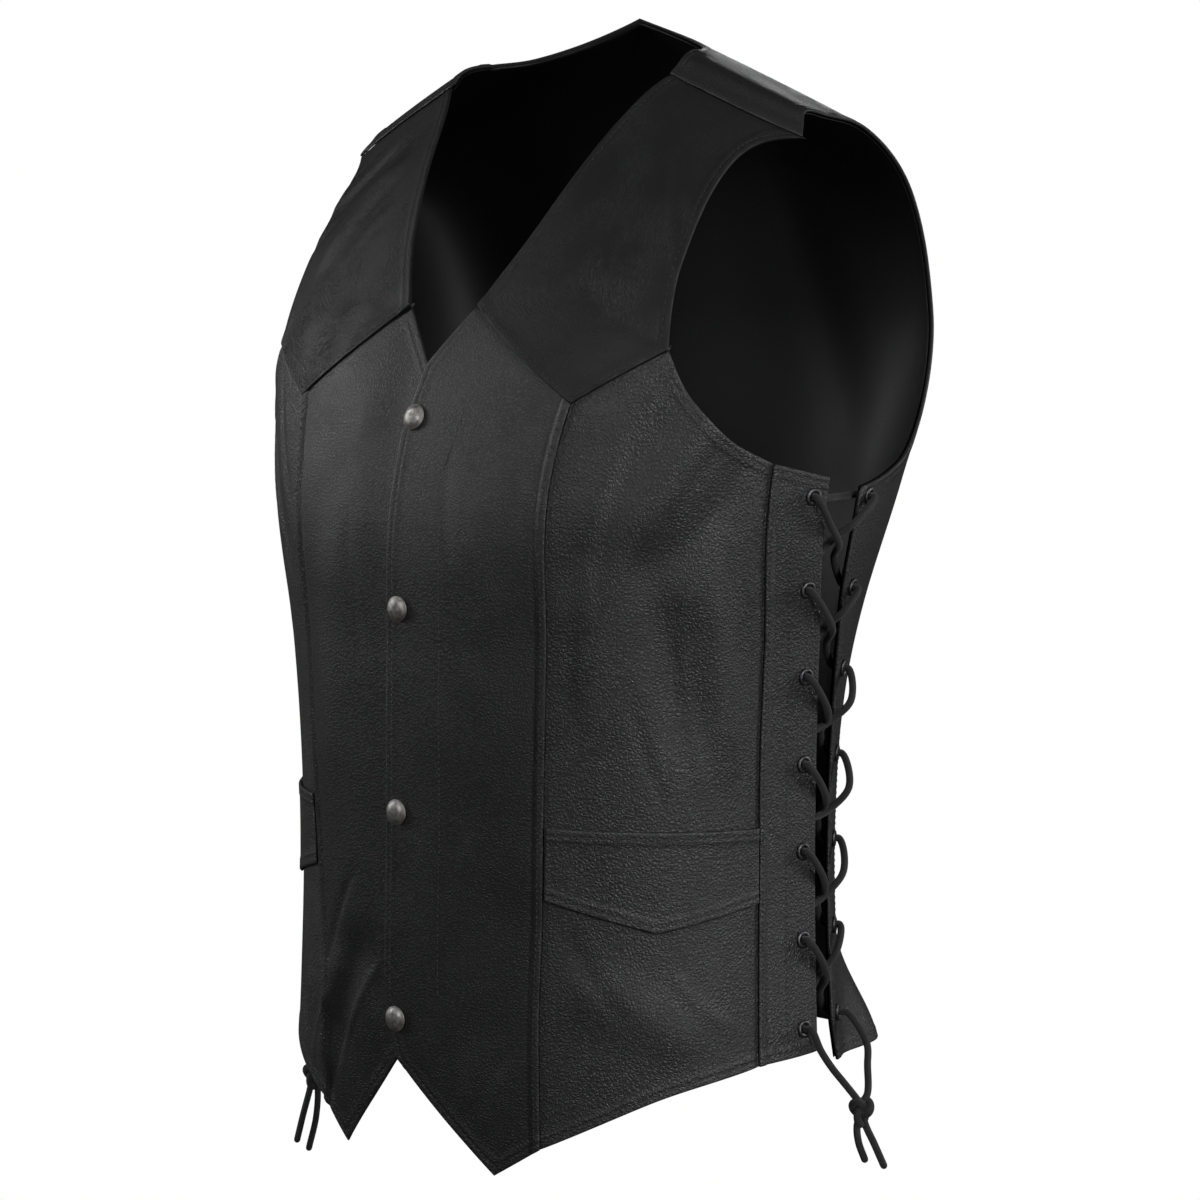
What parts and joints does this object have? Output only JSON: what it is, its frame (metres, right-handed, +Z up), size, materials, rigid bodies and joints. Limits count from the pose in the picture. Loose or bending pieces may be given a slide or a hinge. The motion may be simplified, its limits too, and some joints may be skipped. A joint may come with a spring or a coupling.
{
  "type": "leather vest",
  "caption": "Black leather vest with a V neck, pointed front yokes, pocket flaps, snap front and laced sides, standing open as if worn.",
  "frame": {"origin": "between the shoulders at the base of the neck, where the wearer carries the vest", "axes": "+Z up, the front faces -Y, the wearer's left is +X"},
  "size_m": [0.4364, 0.3125, 0.7369],
  "materials": {
    "leather": "pebbled, satin",
    "yoke": "smooth, satin",
    "lining": "smooth, soft sheen",
    "snap": "satin, aged nickel",
    "eyelet": "dark, satin",
    "lace": "round, matte"
  },
  "bodies": {
    "root": {"front_centre_left": "leather", "front_side_left": "leather", "front_yoke_left": "yoke", "pocket_flap_left": "leather", "lacing_strip_left": "leather", "front_centre_right": "leather", "front_side_right": "leather", "front_yoke_right": "yoke", "pocket_flap_right": "leather", "lacing_strip_right": "leather", "back": "leather", "back_lining": "lining", "snap_1": "snap", "snap_2": "snap", "snap_3": "snap", "snap_4": "snap", "eyelet_front_left_1": "eyelet", "eyelet_front_left_2": "eyelet", "eyelet_front_left_3": "eyelet", "eyelet_front_left_4": "eyelet", "eyelet_front_left_5": "eyelet", "eyelet_front_left_6": "eyelet", "eyelet_front_left_7": "eyelet", "eyelet_back_left_1": "eyelet", "eyelet_back_left_2": "eyelet", "eyelet_back_left_3": "eyelet", "eyelet_back_left_4": "eyelet", "eyelet_back_left_5": "eyelet", "eyelet_back_left_6": "eyelet", "eyelet_back_left_7": "eyelet", "eyelet_front_right_1": "eyelet", "eyelet_front_right_2": "eyelet", "eyelet_front_right_3": "eyelet", "eyelet_front_right_4": "eyelet", "eyelet_front_right_5": "eyelet", "eyelet_front_right_6": "eyelet", "eyelet_front_right_7": "eyelet", "eyelet_back_right_1": "eyelet", "eyelet_back_right_2": "eyelet", "eyelet_back_right_3": "eyelet", "eyelet_back_right_4": "eyelet", "eyelet_back_right_5": "eyelet", "eyelet_back_right_6": "eyelet", "eyelet_back_right_7": "eyelet", "lace_a_left": "lace", "lace_b_left": "lace", "tie_front_left": "lace", "tie_back_left": "lace", "knot_left": "lace", "tail_front_left": "lace", "tail_back_left": "lace", "lace_a_right": "lace", "lace_b_right": "lace", "tie_front_right": "lace", "tie_back_right": "lace", "knot_right": "lace", "tail_front_right": "lace", "tail_back_right": "lace"}
  },
  "joints": []
}
